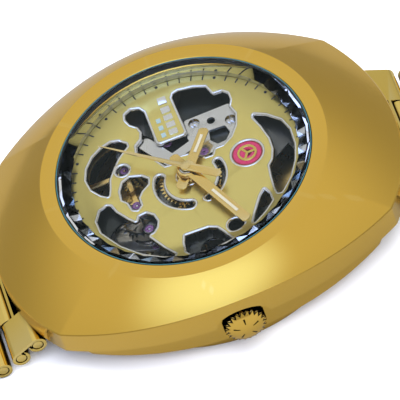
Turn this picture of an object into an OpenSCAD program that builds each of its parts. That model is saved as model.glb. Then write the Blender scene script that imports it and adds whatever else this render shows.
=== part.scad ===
// Skeleton wristwatch with an oval case, an openworked dial and a folded-link bracelet.
// It lies on its case back with the dial up and the bracelet laid out open along Y.
// +X points to the crown, +Y to the twelve o'clock end, +Z out of the dial.
// The origin is the centre of the flat outer face of the case back.

/* [Case] */
// Length of the case from the six to the twelve o'clock end
case_length = 45; // [44:0.5:46]
// Width of the case without the crown
case_width = 37.6; // [37:0.2:38.4]
// Height from the case back to the flat ring around the crystal
case_height = 11.9; // [11.9:0.1:12.4]
// Outer radius of the flat ring on top of the bezel
flat_ring_r = 15.55; // [15.3:0.05:15.8]
// Drop from the flat ring to the edge at three o'clock
side_drop = 2.4; // [2.2:0.1:2.6]
// Drop from the flat ring to the edge at the four corners
corner_drop = 4.55; // [4.4:0.05:4.7]
// Radius of the hole that the crystal sits in
crystal_seat_r = 13.87; // [13.85:0.01:13.9]
// Thickness of the crystal
crystal_t = 1.5; // [1.4:0.05:1.6]
// Number of facets cut under the rim of the crystal
facet_count = 30; // [24:1:36]

/* [Dial] */
// Height of the flat middle of the dial
dial_z = 8.45; // [8.4:0.01:8.5]
// How far the dial's rim stands above its middle
dial_dish = 0.95; // [0.8:0.05:1.0]
// Thickness of the dial
dial_t = 0.4; // [0.3:0.05:0.4]
// Radius of the circle of minute marks
track_r = 12.3; // [12.2:0.02:12.36]
// Radius of the emblem disc
emblem_r = 1.68; // [1.5:0.02:1.75]

/* [Hands] */
// Direction of the hour hand, anticlockwise from three o'clock
hour_dir = 145.5; // [130:0.5:160]
// Direction of the minute hand, anticlockwise from three o'clock
minute_dir = 23.4; // [15:0.1:30]
// Direction of the seconds hand, anticlockwise from three o'clock
seconds_dir = 228.8; // [220:0.1:240]
// Length of the hour hand from the pivot
hour_len = 5.8; // [5:0.1:6.4]
// Length of the minute hand from the pivot
minute_len = 10.4; // [9.5:0.1:10.8]
// Length of the seconds hand from the pivot
seconds_len = 10.5; // [9.5:0.1:10.8]

/* [Crown] */
// Radius of the fluted crown
crown_r = 2.3; // [2.2:0.05:2.35]
// Height of the stem above the case back
stem_z = 5.6; // [5.5:0.05:5.65]
// Number of flutes around the crown
flute_count = 26; // [20:1:32]

/* [Bracelet] */
// Width of the bracelet
band_width = 18.8; // [18:0.2:19]
// Width of the centre links
mid_width = 9.2; // [8.6:0.2:9.4]
// Distance between neighbouring pins
pitch = 2.43; // [2.4:0.01:2.46]
// Outer radius of a rolled link end
roll_r = 0.98; // [0.94:0.01:0.99]
// Thickness of the link sheet
sheet_t = 0.34; // [0.3:0.01:0.36]
// Radius of the link pins
pin_r = 0.54; // [0.5:0.01:0.56]

/* [Hidden] */
$fn = 48;

gold = [0.83, 0.67, 0.27];
pale_gold = [0.82, 0.75, 0.44];
silver = [0.75, 0.75, 0.76];
dark_steel = [0.16, 0.17, 0.18];
brass = [0.85, 0.63, 0.22];
ruby = [0.42, 0.12, 0.34];

// ---- case outline: the overlap of two side discs and two end discs ----
corner = [12.68, 18.51];
side_sag = case_width / 2 - corner[0];
side_r = (corner[1] * corner[1] + side_sag * side_sag) / (2 * side_sag);
end_sag = case_length / 2 - corner[1];
end_r = (corner[0] * corner[0] + end_sag * end_sag) / (2 * end_sag);
side_half = asin(corner[1] / side_r);
end_half = asin(corner[0] / end_r);
side_steps = 28;
end_steps = 22;
side_pt = function (s, a) [s * (case_width / 2 - side_r + side_r * cos(a)), s * side_r * sin(a)];
end_pt = function (s, a) [-s * end_r * sin(a), s * (case_length / 2 - end_r + end_r * cos(a))];
outline_pts = [for (s = [1, -1]) each concat(
    [for (i = [0:side_steps - 1]) side_pt(s, side_half * (2 * i / side_steps - 1))],
    [for (i = [0:end_steps - 1]) end_pt(s, end_half * (2 * i / end_steps - 1))])];
outline_n = len(outline_pts);
function drop_share(y) = pow(abs(y) / corner[1], 1.6);
function edge_z(y) = case_height - side_drop - (corner_drop - side_drop) * drop_share(y);
function flank_z(y) = case_height - 5.6 - 1.65 * drop_share(y);

// ---- heights inside the case ----
seat_z = case_height - crystal_t;
crystal_r = crystal_seat_r - 0.19;
facet_r = 12.5;
facet_h = 1.1;
opening_r = 13.0;
bore_r = 13.05;
movement_r = 12.85;
back_z = 1.5;
dish_r0 = 9.6;
dish_r1 = 11.9;
dial_r = 12.95;

// ---- axes of the movement ----
centre_at = [0, 0];
third_at = [-6.2, -1.0];
fourth_at = [-4.75, -6.25];
escape_at = [0.4, -6.3];
pallet_at = [4.0, -5.9];
balance_at = [7.0, -4.4];
barrel_at = [1.9, 5.9];
minute_at = [4.0, 0.7];
idler_at = fourth_at / 2;
emblem_at = [0, 6.55];
lever_at = [9.45, 2.5];
pillar_at = [2.2, -10.0];
web_z = [7.0, 7.3];
bridge_z = [2.65, 3.15];
pallet_z = [4.1, 4.4];

function turn(a, b) = atan2(b[1] - a[1], b[0] - a[0]);
function mod_of(a, b, ta, tb) = 2 * norm(b - a) / (ta + tb);
function polar(r, a) = [r * cos(a), r * sin(a)];
// Rotation that sets a gap of the second gear against a tooth of the first
function mesh_rot(phi, ta, ra, tb) = phi + 180 - ((ra - phi) * ta / 360 + 0.5) * 360 / tb;

m_barrel = mod_of(centre_at, barrel_at, 80, 10);
m_centre = mod_of(centre_at, third_at, 80, 10);
m_sweep = mod_of(fourth_at, idler_at, 30, 33);
m_third = mod_of(third_at, fourth_at, 75, 10);
m_fourth = mod_of(fourth_at, escape_at, 80, 8);
m_cannon = mod_of(centre_at, minute_at, 12, 36);
m_hour = mod_of(centre_at, minute_at, 40, 10);

third_turn = mesh_rot(turn(centre_at, third_at), 80, 0, 10);
idler_turn = mesh_rot(turn(fourth_at, idler_at), 30, 0, 33);
seconds_turn = mesh_rot(turn(idler_at, centre_at), 33, idler_turn, 30);
fourth_turn = mesh_rot(turn(third_at, fourth_at), 75, 0, 10);
escape_turn = mesh_rot(turn(fourth_at, escape_at), 80, 0, 8);
barrel_turn = mesh_rot(turn(barrel_at, centre_at), 80, 0, 10);
minute_turn = mesh_rot(turn(centre_at, minute_at), 12, 0, 36);
hour_turn = mesh_rot(turn(minute_at, centre_at), 10, 0, 40);

// ---- bracelet pins, as [distance from the centre, height] ----
first_pins = [[21.2, 3.2], [23.35, 2.07], [25.62, 1.22], [28.03, roll_r + 0.02]];
links_per_part = 6;
last_pin = 24;
pin_at = function (k) k < len(first_pins) ? first_pins[k] : [first_pins[3][0] + (k - 3) * pitch, roll_r + 0.02];
bar_at = [18.55, 4.1];

// ---- general helpers ----
module disc(r, z0, z1) { translate([0, 0, z0]) cylinder(r = r, h = z1 - z0); }
module ring(ro, ri, z0, z1) {
    translate([0, 0, z0]) difference() {
        cylinder(r = ro, h = z1 - z0);
        translate([0, 0, -1]) cylinder(r = ri, h = z1 - z0 + 2);
    }
}
// A thin arbor, kept as a twelve-sided prism
module arbor(r, z0, z1) { translate([0, 0, z0]) cylinder(r = r, h = z1 - z0, $fn = 12); }
module at(p) { translate([p[0], p[1], 0]) children(); }

gear_pts = function (t, m) [for (i = [0:t - 1]) each
    [for (c = [[-0.3, -1.2], [-0.12, 0.9], [0.12, 0.9], [0.3, -1.2]])
        let (r = m * (t / 2 + c[1]), a = 360 / t * (i + c[0])) [r * cos(a), r * sin(a)]]];

// Toothed wheel; with spokes > 0 it is crossed out inside its rim
module wheel(t, m, z0, z1, spokes = 0, hub = 0.6, spoke_w = 0.34) {
    rim_r = m * (t / 2 - 1.2) - 0.55;
    translate([0, 0, z0]) linear_extrude(z1 - z0) {
        if (spokes == 0) polygon(gear_pts(t, m));
        else {
            difference() {
                polygon(gear_pts(t, m));
                polygon([for (i = [0:59]) rim_r * [cos(6 * i), sin(6 * i)]]);
            }
            circle(r = hub, $fn = 12);
            for (i = [0:spokes - 1]) rotate(i * 360 / spokes) translate([0, -spoke_w / 2])
                square([rim_r + 0.2, spoke_w]);
        }
    }
}

// Overlap of four discs: the case outline moved inwards
module case_shape(inset) {
    intersection() {
        translate([case_width / 2 - side_r, 0]) circle(r = side_r - inset, $fn = 180);
        translate([side_r - case_width / 2, 0]) circle(r = side_r - inset, $fn = 180);
        translate([0, case_length / 2 - end_r]) circle(r = end_r - inset, $fn = 180);
        translate([0, end_r - case_length / 2]) circle(r = end_r - inset, $fn = 180);
    }
}

// ---- case ----
// Rings of points from the flat ring, down the slope and the flank
bezel_share = [0, 0.35, 0.7, 1];
function bezel_ring(k) = [for (p = outline_pts)
    let (a = atan2(p[1] / case_length, p[0] / case_width), t = bezel_share[k],
        top = [flat_ring_r * cos(a), flat_ring_r * sin(a), case_height], low = [p[0], p[1], edge_z(p[1])])
    top + (low - top) * t + [0, 0, 0.9 * t * (1 - t)]];
bezel_rings = [bezel_ring(0), bezel_ring(1), bezel_ring(2), bezel_ring(3),
    [for (p = outline_pts) [p[0], p[1], flank_z(p[1])]]];
module bezel_blank() {
    n = outline_n;
    pts = concat([[0, 0, case_height]], [for (r = bezel_rings) each r], [[0, 0, case_height - 7.9]]);
    faces = concat(
        [for (i = [0:n - 1]) [0, 1 + (i + 1) % n, 1 + i]],
        [for (k = [0:3]) for (i = [0:n - 1]) each
            [[1 + k * n + i, 1 + k * n + (i + 1) % n, 1 + (k + 1) * n + i],
             [1 + k * n + (i + 1) % n, 1 + (k + 1) * n + (i + 1) % n, 1 + (k + 1) * n + i]]],
        [for (i = [0:n - 1]) [1 + 4 * n + i, 1 + 4 * n + (i + 1) % n, 1 + 5 * n]]);
    polyhedron(pts, faces);
}
module crown_notch() {
    translate([15, 0, case_height - 5.7]) rotate([0, 90, 0]) scale([0.62, 1, 1]) cylinder(r = 2.9, h = 8, $fn = 64);
}
module bezel() {
    color(gold) difference() {
        bezel_blank();
        translate([0, 0, -1]) linear_extrude(7.0) case_shape(1.3);
        disc(16.0, 5, 9.2);
        disc(opening_r, 5, 20);
        disc(crystal_seat_r, seat_z, 20);
        for (s = [1, -1]) translate([-11.2, s * 21.5 - 4.5, 0]) cube([22.4, 9, case_height - 5.9]);
        crown_notch();
        translate([12, 0, stem_z]) rotate([0, 90, 0]) cylinder(r = 1.05, h = 10);
    }
}
module crystal() {
    color([0.8, 0.87, 0.9, 0.3]) union() {
        disc(crystal_r, seat_z + facet_h, case_height);
        translate([0, 0, seat_z]) linear_extrude(facet_h + 0.05, scale = (crystal_r - 0.03) / facet_r)
            circle(r = facet_r, $fn = facet_count);
    }
}
module crystal_gasket() {
    color([0.05, 0.06, 0.07]) rotate_extrude($fn = 96) polygon([[opening_r + 0.15, seat_z + 0.02],
        [crystal_seat_r - 0.01, seat_z + 0.02], [crystal_seat_r - 0.01, case_height - 0.05],
        [crystal_r + 0.02, case_height - 0.05], [crystal_r + 0.02, seat_z + facet_h - 0.05],
        [opening_r + 0.15, seat_z + 0.4]]);
}
module rehaut_ring() {
    color(pale_gold) rotate_extrude($fn = 96) polygon([[12.66, dial_z + dial_dish + 0.05],
        [12.97, dial_z + dial_dish + 0.05], [12.97, seat_z - 0.03], [12.86, seat_z - 0.03]]);
}
module case_body() {
    color(gold) difference() {
        union() {
            translate([0, 0, 2.6]) linear_extrude(3.3) case_shape(1.4);
            disc(16.4, back_z + 0.02, 2.6);
            disc(15.9, 5.8, 9.1);
        }
        disc(bore_r, 0, 20);
        disc(15.02, 0, back_z + 0.9);
        for (s = [1, -1]) {
            translate([-9.4, s * 21.3 - 4.0, 0]) cube([18.8, 8, 12]);
            translate([-10.6, s * bar_at[0], bar_at[1]]) rotate([0, 90, 0]) cylinder(r = 0.45, h = 21.2);
        }
        translate([12, 0, stem_z]) rotate([0, 90, 0]) cylinder(r = 1.05, h = 10);
    }
}
module case_back() {
    color(gold) difference() {
        union() {
            disc(16.2, 0.4, back_z);
            disc(15.6, 0, 0.4);
            disc(15.0, back_z, back_z + 0.85);
        }
        disc(12.2, -1, 0.6);
        disc(12.6, 0.55, 5);
        disc(13.2, back_z - 0.05, 5);
        for (i = [0:5]) rotate(60 * i + 30) translate([15.1, -0.9, -0.1]) cube([1.5, 1.8, 0.9]);
    }
}
module back_crystal() { color([0.8, 0.87, 0.9, 0.3]) union() { disc(12.15, 0, 0.56); disc(12.5, 0.56, 1.1); } }
module back_gasket() { color([0.06, 0.06, 0.06]) ring(12.58, 12.52, 0.58, 1.1); }
module crown_tube() {
    color(silver) translate([12.9, 0, stem_z]) rotate([0, 90, 0]) ring(1.02, 0.6, 0.2, 4.5);
}
module crown() {
    head_x = 17.5;
    color(gold) translate([head_x, 0, stem_z]) rotate([0, 90, 0]) difference() {
        intersection() {
            rotate_extrude() polygon([[0, 0], [crown_r - 0.25, 0], [crown_r, 0.25], [crown_r, 1.35],
                [crown_r - 0.3, 1.55], [1.5, 1.86], [0.8, 2.0], [0, 2.04]]);
            linear_extrude(3) polygon([for (i = [0:2 * flute_count - 1])
                (i % 2 == 0 ? crown_r + 0.02 : crown_r - 0.22) * [cos(180 * i / flute_count), sin(180 * i / flute_count)]]);
        }
        disc(0.56, -1, 0.9);
        ring(1.75, 1.15, -1, 0.3);
    }
}
module winding_stem() {
    color(silver) translate([0, 0, stem_z]) rotate([0, 90, 0]) {
        disc(0.54, 13.2, 18.38);
        disc(0.4, 11.4, 13.2);
        translate([-0.3, -0.3, 8.2]) cube([0.6, 0.6, 3.2]);
    }
}
module sliding_clutch() {
    color(silver) translate([0, 0, stem_z]) rotate([0, 90, 0]) difference() {
        union() {
            translate([0, 0, 9.5]) linear_extrude(0.4) polygon(gear_pts(16, 0.085));
            disc(0.5, 9.9, 10.3);
            translate([0, 0, 10.3]) linear_extrude(0.4) polygon(gear_pts(16, 0.085));
        }
        translate([-0.34, -0.34, 9]) cube([0.68, 0.68, 3]);
    }
}
module setting_lever() {
    color(dark_steel) translate([0, 0, stem_z + 0.56]) linear_extrude(0.14) difference() {
        polygon([[10.76, -0.35], [11.05, -0.3], [11.05, 0.35], [10.75, 1.0], [10.0, 2.9], [8.95, 2.95], [9.0, 2.1],
            [10.0, 1.4], [10.76, 0.55]]);
        translate(lever_at) circle(r = 0.25);
    }
}

// ---- dial ----
// Layer between two heights over the dished dial surface
module dial_layer(low, high, r1 = dial_r) {
    top = [[0, 0], [dish_r0, 0], [dish_r1, dial_dish], [r1, dial_dish]];
    rotate_extrude($fn = 120) polygon(concat([for (p = top) [p[0], p[1] + dial_z + high]],
        [for (i = [3:-1:0]) [top[i][0], top[i][1] + dial_z + low]]));
}
module window(pts, r = 0.22) { offset(r = r) offset(r = -2 * r) offset(r = r) polygon(pts); }
// Curved slot with round ends, as one outline
module arc_slot(c, r, w, a0, a1) {
    translate(c) polygon(concat(
        [for (i = [0:16]) polar(r + w / 2, a0 + (a1 - a0) * i / 16)],
        [for (i = [1:7]) polar(r, a1) + polar(w / 2, a1 + 22.5 * i)],
        [for (i = [16:-1:0]) polar(r - w / 2, a0 + (a1 - a0) * i / 16)],
        [for (i = [1:7]) polar(r, a0) + polar(w / 2, a0 + 180 + 22.5 * i)]));
}
// Opening that runs round the tongue at nine o'clock
tongue_window = [[-11.2, 2.0], [-10.85, 3.7], [-10.25, 5.0], [-9.2, 5.4], [-9.0, 6.4], [-8.4, 7.0],
    [-7.6, 7.0], [-7.0, 6.6], [-5.8, 6.95], [-4.2, 6.5], [-2.9, 5.6], [-2.2, 4.5], [-2.2, 3.55], [-1.4, 3.1],
    [-1.45, 2.3], [-2.8, 0.7], [-2.95, -0.5], [-2.2, -1.3], [-2.3, -2.1], [-4.0, -3.0], [-4.8, -3.9],
    [-5.5, -4.4], [-6.5, -4.25], [-7.1, -3.5], [-8.0, -3.2], [-8.85, -3.4], [-9.35, -4.1], [-10.0, -4.4],
    [-10.6, -4.2], [-11.0, -3.4], [-10.85, -2.5], [-10.3, -2.05], [-5.9, -2.0], [-5.6, -1.7], [-5.6, 1.0],
    [-5.9, 1.3], [-10.7, 1.1], [-11.1, 1.4]];
wheel_window = [[-7.3, -5.0], [-8.0, -5.7], [-8.05, -6.6], [-7.55, -7.8], [-6.65, -9.0], [-5.3, -10.0],
    [-3.85, -10.5], [-2.55, -10.3], [-1.75, -9.6], [-1.0, -8.7], [-2.1, -8.3], [-3.3, -8.0], [-4.7, -7.1],
    [-5.7, -6.3], [-6.4, -5.5], [-6.8, -5.0]];
pinion_window = [[-2.8, -6.0], [-2.3, -4.7], [-1.6, -4.1], [-0.8, -4.3], [-0.2, -5.2], [0.55, -5.75],
    [1.6, -5.75], [2.1, -6.3], [1.8, -6.9], [0.6, -7.1], [0, -7.6], [-1.3, -7.5], [-2.4, -6.9]];
balance_window = [[-0.2, -9.3], [0.4, -10.2], [2.0, -10.9], [3.85, -10.8], [6.5, -9.3], [8.5, -7.5],
    [10.0, -5.4], [10.5, -4.4], [9.9, -4.1], [8.0, -5.1], [5.9, -6.2], [5.7, -5.5], [5.2, -5.0], [4.4, -4.7],
    [3.4, -4.9], [2.7, -5.6], [2.8, -6.5], [3.6, -6.9], [2.7, -7.6], [1.2, -8.5], [0.1, -8.8]];
stem_window = [[7.5, -2.7], [7.6, 0], [8.1, 0.9], [9.0, 1.4], [10.9, 2.1], [11.25, -0.5], [11.0, -2.7], [10.1, -3.15],
    [8.5, -3.0]];
flash_window = [[5.3, 6.9], [6.35, 7.3], [7.8, 7.3], [8.9, 6.2], [10.0, 4.6], [9.4, 4.5], [8.1, 5.0], [6.2, 6.1]];
barrel_window = [[-4.9, 8.5], [-3.75, 9.9], [-2.05, 11.2], [-0.3, 11.7], [2.0, 11.6], [4.0, 11.0], [6.0, 9.9],
    [7.5, 8.5], [7.1, 8.0], [5.9, 7.9], [4.2, 8.0], [2.7, 8.2], [2.0, 8.8], [0.7, 9.25], [-0.8, 9.3], [-2.8, 8.9],
    [-4.3, 8.4]];
module dial_windows() {
    window(tongue_window, 0.2);
    window(wheel_window);
    window(pinion_window);
    window(balance_window);
    window(stem_window);
    window(flash_window, 0.15);
    window(barrel_window);
    translate([-3.9, -6.45]) circle(r = 0.82);
    translate([8.7, 2.8]) circle(r = 0.98);
    arc_slot([0.55, 0.05], 3.45, 1.2, -116, -16);
    arc_slot([0.55, 0.05], 3.4, 0.95, 18, 106);
}
module dial() {
    color(pale_gold) difference() {
        dial_layer(-dial_t, 0);
        translate([0, 0, dial_z - 1]) linear_extrude(3) dial_windows();
        disc(1.3, 5, 12);
        at(emblem_at) disc(emblem_r + 0.07, 5, 12);
    }
}
module dial_markers() {
    color([0.08, 0.08, 0.08]) intersection() {
        dial_layer(0, 0.04);
        translate([0, 0, dial_z]) linear_extrude(2) for (i = [0:59]) rotate(6 * i) {
            if (i % 5 > 0) translate([track_r - 0.3, -0.065]) square([0.6, 0.13]);
            else translate([track_r, 0]) circle(r = 0.17, $fn = 12);
        }
    }
}
// Plain applied blocks on the tongue
module dial_blocks() {
    color(silver) intersection() {
        dial_layer(0, 0.16);
        translate([0, 0, dial_z]) linear_extrude(2) {
            for (i = [0:4]) translate([-11.0 + 1.06 * i, -0.42]) square([0.72, 0.98]);
        }
    }
}
module emblem_disc() {
    color([0.76, 0.2, 0.36]) at(emblem_at) {
        disc(emblem_r, dial_z - 0.3, dial_z - 0.06);
        arbor(0.25, dial_z - 0.55, dial_z - 0.3);
        ring(1.05, 0.82, dial_z - 0.06, dial_z + 0.06);
        for (i = [0:2]) rotate(120 * i + 90) translate([0, -0.11, dial_z - 0.06]) cube([0.9, 0.22, 0.12]);
    }
}

// ---- hands ----
// Straight hand with a chamfered tip, a slot for luminous paint and a short tail
module baton(len, tail, w, tail_w, slot0, slot1) {
    difference() {
        union() {
            polygon([[0, -w / 2], [len - 0.25, -w / 2], [len, -w / 5], [len, w / 5], [len - 0.25, w / 2], [0, w / 2]]);
            polygon([[0, -tail_w / 2], [-tail + 0.3, -tail_w / 2], [-tail, -tail_w / 4], [-tail, tail_w / 4],
                [-tail + 0.3, tail_w / 2], [0, tail_w / 2]]);
        }
        if (slot1 > slot0) translate([slot0, -w * 0.15]) square([slot1 - slot0, w * 0.3]);
    }
}
module hour_hand() {
    color(gold) rotate(hour_dir) difference() {
        union() {
            translate([0, 0, 9.0]) linear_extrude(0.16) baton(hour_len, 2.4, 1.15, 1.2, 2.5, 4.9);
            disc(1.2, 8.95, 9.16);
        }
        disc(0.99, 8, 10);
    }
}
module minute_hand() {
    color(gold) rotate(minute_dir) difference() {
        union() {
            translate([0, 0, 9.48]) linear_extrude(0.16) baton(minute_len, 2.5, 1.1, 1.1, 4.4, 8.7);
            disc(1.0, 9.43, 9.66);
        }
        disc(0.77, 8, 10);
    }
}
module seconds_hand() {
    color(gold) rotate(seconds_dir) difference() {
        union() {
            translate([0, 0, 9.94]) linear_extrude(0.13) {
                polygon([[0, -0.3], [seconds_len, -0.06], [seconds_len, 0.06], [0, 0.3]]);
                baton(0, 4.2, 0.5, 0.95, 0, 0);
            }
            disc(0.55, 9.8, 10.14);
        }
        disc(0.21, 9.7, 10.0);
    }
}

// ---- plates and bridges ----
module spot(p, r, z) { at(p) disc(r, z[0], z[1]); }
// Outline of a straight arm between two points, with round ends
module arm_shape(p, q, w) {
    a = turn(p, q);
    polygon(concat([for (i = [0:8]) q + polar(w / 2, a - 90 + 22.5 * i)],
        [for (i = [0:8]) p + polar(w / 2, a + 90 + 22.5 * i)]));
}
module arm(p, q, w, z) { translate([0, 0, z[0]]) linear_extrude(z[1] - z[0]) arm_shape(p, q, w); }
module screw_hole(p, z) { at(p) disc(0.36, z[0] - 1, z[1] + 1); }
train_feet = [polar(11.9, 188), polar(11.9, 262), polar(11.9, 300)];
barrel_feet = [polar(11.9, 20), polar(11.9, 150)];
cock_foot = polar(11.9, 352);
clamp_at = [polar(12.0, 170), polar(12.0, 285)];
foot_r = 0.6;
side_feet = [[-6.9, 2.4], [-5.6, 6.2]];
side_jewel = [-2.7, 2.35];
module main_plate() {
    color(dark_steel) difference() {
        union() {
            difference() {
                disc(movement_r, 5.9, 7.3);
                disc(11.3, 5.8, 7.0);
                spot(fourth_at, 4.85, [6, 8]);
                spot(barrel_at + [0, 0.6], 4.9, [6, 8]);
                spot([4.9, -7.6], 3.0, [6.9, 8]);
                spot([8.3, -6.1], 1.3, [6.9, 8]);
                spot([9.65, -0.3], 1.35, [6.9, 8]);
            }
            arm(fourth_at, polar(12, 205), 1.5, web_z);
            arm(pallet_at, [2.2, -3.0], 1.3, web_z);
            arm(barrel_at, polar(11.6, 100), 2.4, web_z);
            arm([0, 0], barrel_at, 1.9, web_z);
            spot(barrel_at, 1.7, web_z);
            spot(lever_at, 0.2, [6.0, 7.1]);
            for (p = concat(train_feet, barrel_feet, [cock_foot], clamp_at)) spot(p, foot_r, [bridge_z[1], 6.5]);
        }
        disc(0.56, 5, 9);
        spot(minute_at, 0.17, [5, 9]);
        for (p = [third_at, fourth_at, escape_at, pallet_at]) spot(p, 0.5, [6.5, 9]);
        spot(balance_at, 0.6, [5, 9]);
        spot(barrel_at, 0.62, [5, 9]);
        translate([10.6, -1.1, 4.5]) cube([3, 2.2, 2.05]);
        for (p = concat(train_feet, barrel_feet, [cock_foot], clamp_at)) screw_hole(p, [2, 5.2]);
    }
}
module dial_side_bridge() {
    z = [7.7, 8.0];
    color(silver) difference() {
        union() {
            translate([0, 0, z[0]]) linear_extrude(z[1] - z[0]) window([[-7.7, 1.5], [-7.8, 6.6], [-6.2, 7.2],
                [-4.6, 6.8], [-3.2, 5.9], [-2.6, 4.6], [-2.2, 3.2], [-2.0, 1.8], [-3.2, 1.7], [-5.2, 1.2]], 0.3);
            arm([-6.6, -3.2], [-3.3, -1.3], 1.5, z);
            arm([-3.3, -1.3], [-4.4, 1.8], 1.1, z);
            for (p = side_feet) spot(p, 0.7, [web_z[1], z[0]]);
        }
        translate([0, 0, 7]) linear_extrude(2)
            window([[-5.2, 3.6], [-5.1, 5.4], [-4.0, 5.7], [-3.1, 5.0], [-3.0, 4.0], [-3.8, 3.4]], 0.2);
        spot([-6.4, 4.2], 0.45, [7, 9]);
        spot(side_jewel, 0.52, [7, 9]);
        for (p = side_feet) {
            screw_hole(p, z);
            spot(p, 0.63, [z[0] + 0.07, 9]);
        }
    }
}
module train_bridge() {
    color(silver) {
        difference() {
            translate([0, 0, bridge_z[0]]) linear_extrude(bridge_z[1] - bridge_z[0]) {
                arm_shape(third_at, train_feet[0], 2.1);
                arm_shape(third_at, fourth_at, 2.8);
                arm_shape(fourth_at, train_feet[1], 2.1);
                arm_shape(centre_at, third_at, 2.8);
                arm_shape(centre_at, fourth_at, 3.0);
                arm_shape(centre_at, escape_at, 2.2);
                arm_shape(escape_at, train_feet[2], 2.0);
            }
            for (p = [third_at, fourth_at, escape_at, centre_at]) spot(p, 0.5, [2, 5]);
            for (p = train_feet) screw_hole(p, bridge_z);
        }
        spot(idler_at, 0.2, [bridge_z[1] - 0.1, 3.7]);
        spot(idler_at, 0.42, [3.62, 3.7]);
        difference() {
            union() {
                arm(pallet_at, pillar_at, 1.3, pallet_z);
                spot(pillar_at, 0.5, [pallet_z[0], web_z[0]]);
            }
            spot(pallet_at, 0.5, [4, 5]);
        }
    }
}
module barrel_bridge() {
    color(silver) difference() {
        intersection() {
            disc(12.7, bridge_z[0], bridge_z[1]);
            translate([0, 0, 2]) linear_extrude(3) polygon([[-12, 4.9], [-6, 2.6], [-1.4, 2.0], [1.5, 1.9],
                [7, 2.5], [12.5, 3.2], [12.5, 13], [-12, 13]]);
        }
        spot(barrel_at, 0.62, [2, 5]);
        spot([-4.5, 6.0], 1.5, [2, 5]);
        for (p = barrel_feet) screw_hole(p, bridge_z);
    }
}
module balance_cock() {
    color(silver) difference() {
        union() {
            arm(balance_at, cock_foot, 2.1, bridge_z);
            spot(balance_at, 1.5, bridge_z);
        }
        spot(balance_at, 0.6, [2, 5]);
        screw_hole(cock_foot, bridge_z);
    }
}
module jewel(p, z, hole) { at(p) ring(0.5, hole, z[0] + 0.04, z[1] - 0.02); }
module jewels() {
    color(ruby) {
        for (p = [third_at, fourth_at, escape_at]) for (z = [bridge_z, web_z]) jewel(p, z, 0.17);
        for (z = [pallet_z, web_z]) jewel(pallet_at, z, 0.17);
        jewel(centre_at, bridge_z, 0.22);
        for (z = [bridge_z, web_z]) at(balance_at) ring(0.6, 0.14, z[0] + 0.04, z[1] - 0.02);
        for (z = [bridge_z, web_z]) at(barrel_at) ring(0.62, 0.34, z[0] + 0.04, z[1] - 0.02);
        jewel(side_jewel, [7.7, 8.0], 0.12);
    }
}
module screw(p, z0, z1, head_up = false) {
    at(p) difference() {
        union() {
            disc(0.34, z0, z1);
            if (head_up) disc(0.6, z1, z1 + 0.22);
            else disc(0.62, z0 - 0.22, z0);
        }
        translate([-1, -0.07, head_up ? z1 + 0.12 : z0 - 0.3]) cube([2, 0.14, 0.18]);
    }
}
module bridge_screws() {
    color([0.6, 0.6, 0.64]) {
        for (p = concat(train_feet, barrel_feet, [cock_foot])) screw(p, bridge_z[0], 6.0);
        for (p = side_feet) screw(p, 7.4, 7.78, true);
    }
}
module movement_clamps() {
    color(silver) for (p = clamp_at) {
        at(p) rotate(turn(p, centre_at)) difference() {
            translate([-0.95, -0.8, 2.82]) cube([2.0, 1.6, 0.3]);
            disc(0.36, 2, 4);
        }
        screw(p, 2.8, 5.0);
    }
}

// ---- motion work and going train ----
module cannon_pinion() {
    color(silver) difference() {
        union() {
            translate([0, 0, 7.32]) linear_extrude(0.13) polygon(gear_pts(12, m_cannon));
            disc(0.76, 7.32, 9.7);
        }
        disc(0.49, 6, 10);
    }
}
module hour_wheel() {
    color(brass) difference() {
        union() {
            rotate(hour_turn) translate([0, 0, 7.46]) linear_extrude(0.2) polygon(gear_pts(40, m_hour));
            disc(0.98, 7.6, 9.2);
        }
        disc(0.8, 7, 10);
    }
}
module minute_wheel() {
    color(brass) at(minute_at) {
        rotate(minute_turn) wheel(36, m_cannon, 7.33, 7.44, 4, 0.6);
        translate([0, 0, 7.44]) linear_extrude(0.24) polygon(gear_pts(10, m_hour));
        arbor(0.14, 7.02, 7.95);
    }
}
module barrel() {
    color(brass) at(barrel_at) rotate(barrel_turn) {
        ring(4.9, 4.6, 4.2, 5.2);
        difference() {
            translate([0, 0, 3.95]) linear_extrude(0.28) polygon(gear_pts(80, m_barrel));
            disc(0.66, 3, 6);
        }
        ring(4.9, 0.66, 5.1, 5.22);
    }
}
module mainspring() {
    turns = 7;
    color([0.55, 0.58, 0.62]) at(barrel_at) translate([0, 0, 4.28]) linear_extrude(0.78)
        polygon([for (s = [0, 1]) for (i = [0:turns * 24])
            let (k = s == 0 ? i : turns * 24 - i, r = 1.2 + 3.2 * k / (turns * 24) + (s == 0 ? 0 : 0.13))
            polar(r, 15 * k)]);
}
module ratchet_wheel() {
    color(silver) at(barrel_at) {
        arbor(0.31, 2.3, 7.25);
        arbor(0.6, 4.3, 5.05);
        translate([0, 0, 2.36]) linear_extrude(0.24) polygon(gear_pts(44, 0.11));
    }
}
module click() {
    color(gold) at(barrel_at) rotate(40) translate([2.72, 0, 2.36]) {
        linear_extrude(0.22) polygon([[-0.1, -0.1], [0.5, -0.5], [1.7, -0.4], [1.9, 0.3], [0.7, 0.5], [0.3, 0.2]]);
        translate([1.2, 0, -0.1]) disc(0.3, 0, 0.1);
    }
}
module centre_wheel() {
    color(brass) {
        difference() {
            wheel(80, m_centre, 5.3, 5.5, 5, 1.1);
            disc(0.26, 5, 6);
        }
        ring(0.46, 0.26, 4.4, 7.9);
        difference() {
            translate([0, 0, 3.9]) linear_extrude(0.5) polygon(gear_pts(10, m_barrel));
            disc(0.26, 3, 5);
        }
    }
}
module third_wheel() {
    color(brass) at(third_at) {
        wheel(75, m_third, 4.6, 4.8, 4, 0.9, 0.5);
        rotate(third_turn) translate([0, 0, 5.1]) linear_extrude(0.6) polygon(gear_pts(10, m_centre));
        arbor(0.3, 3.2, 6.95);
        arbor(0.14, 2.7, 7.25);
    }
}
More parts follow.
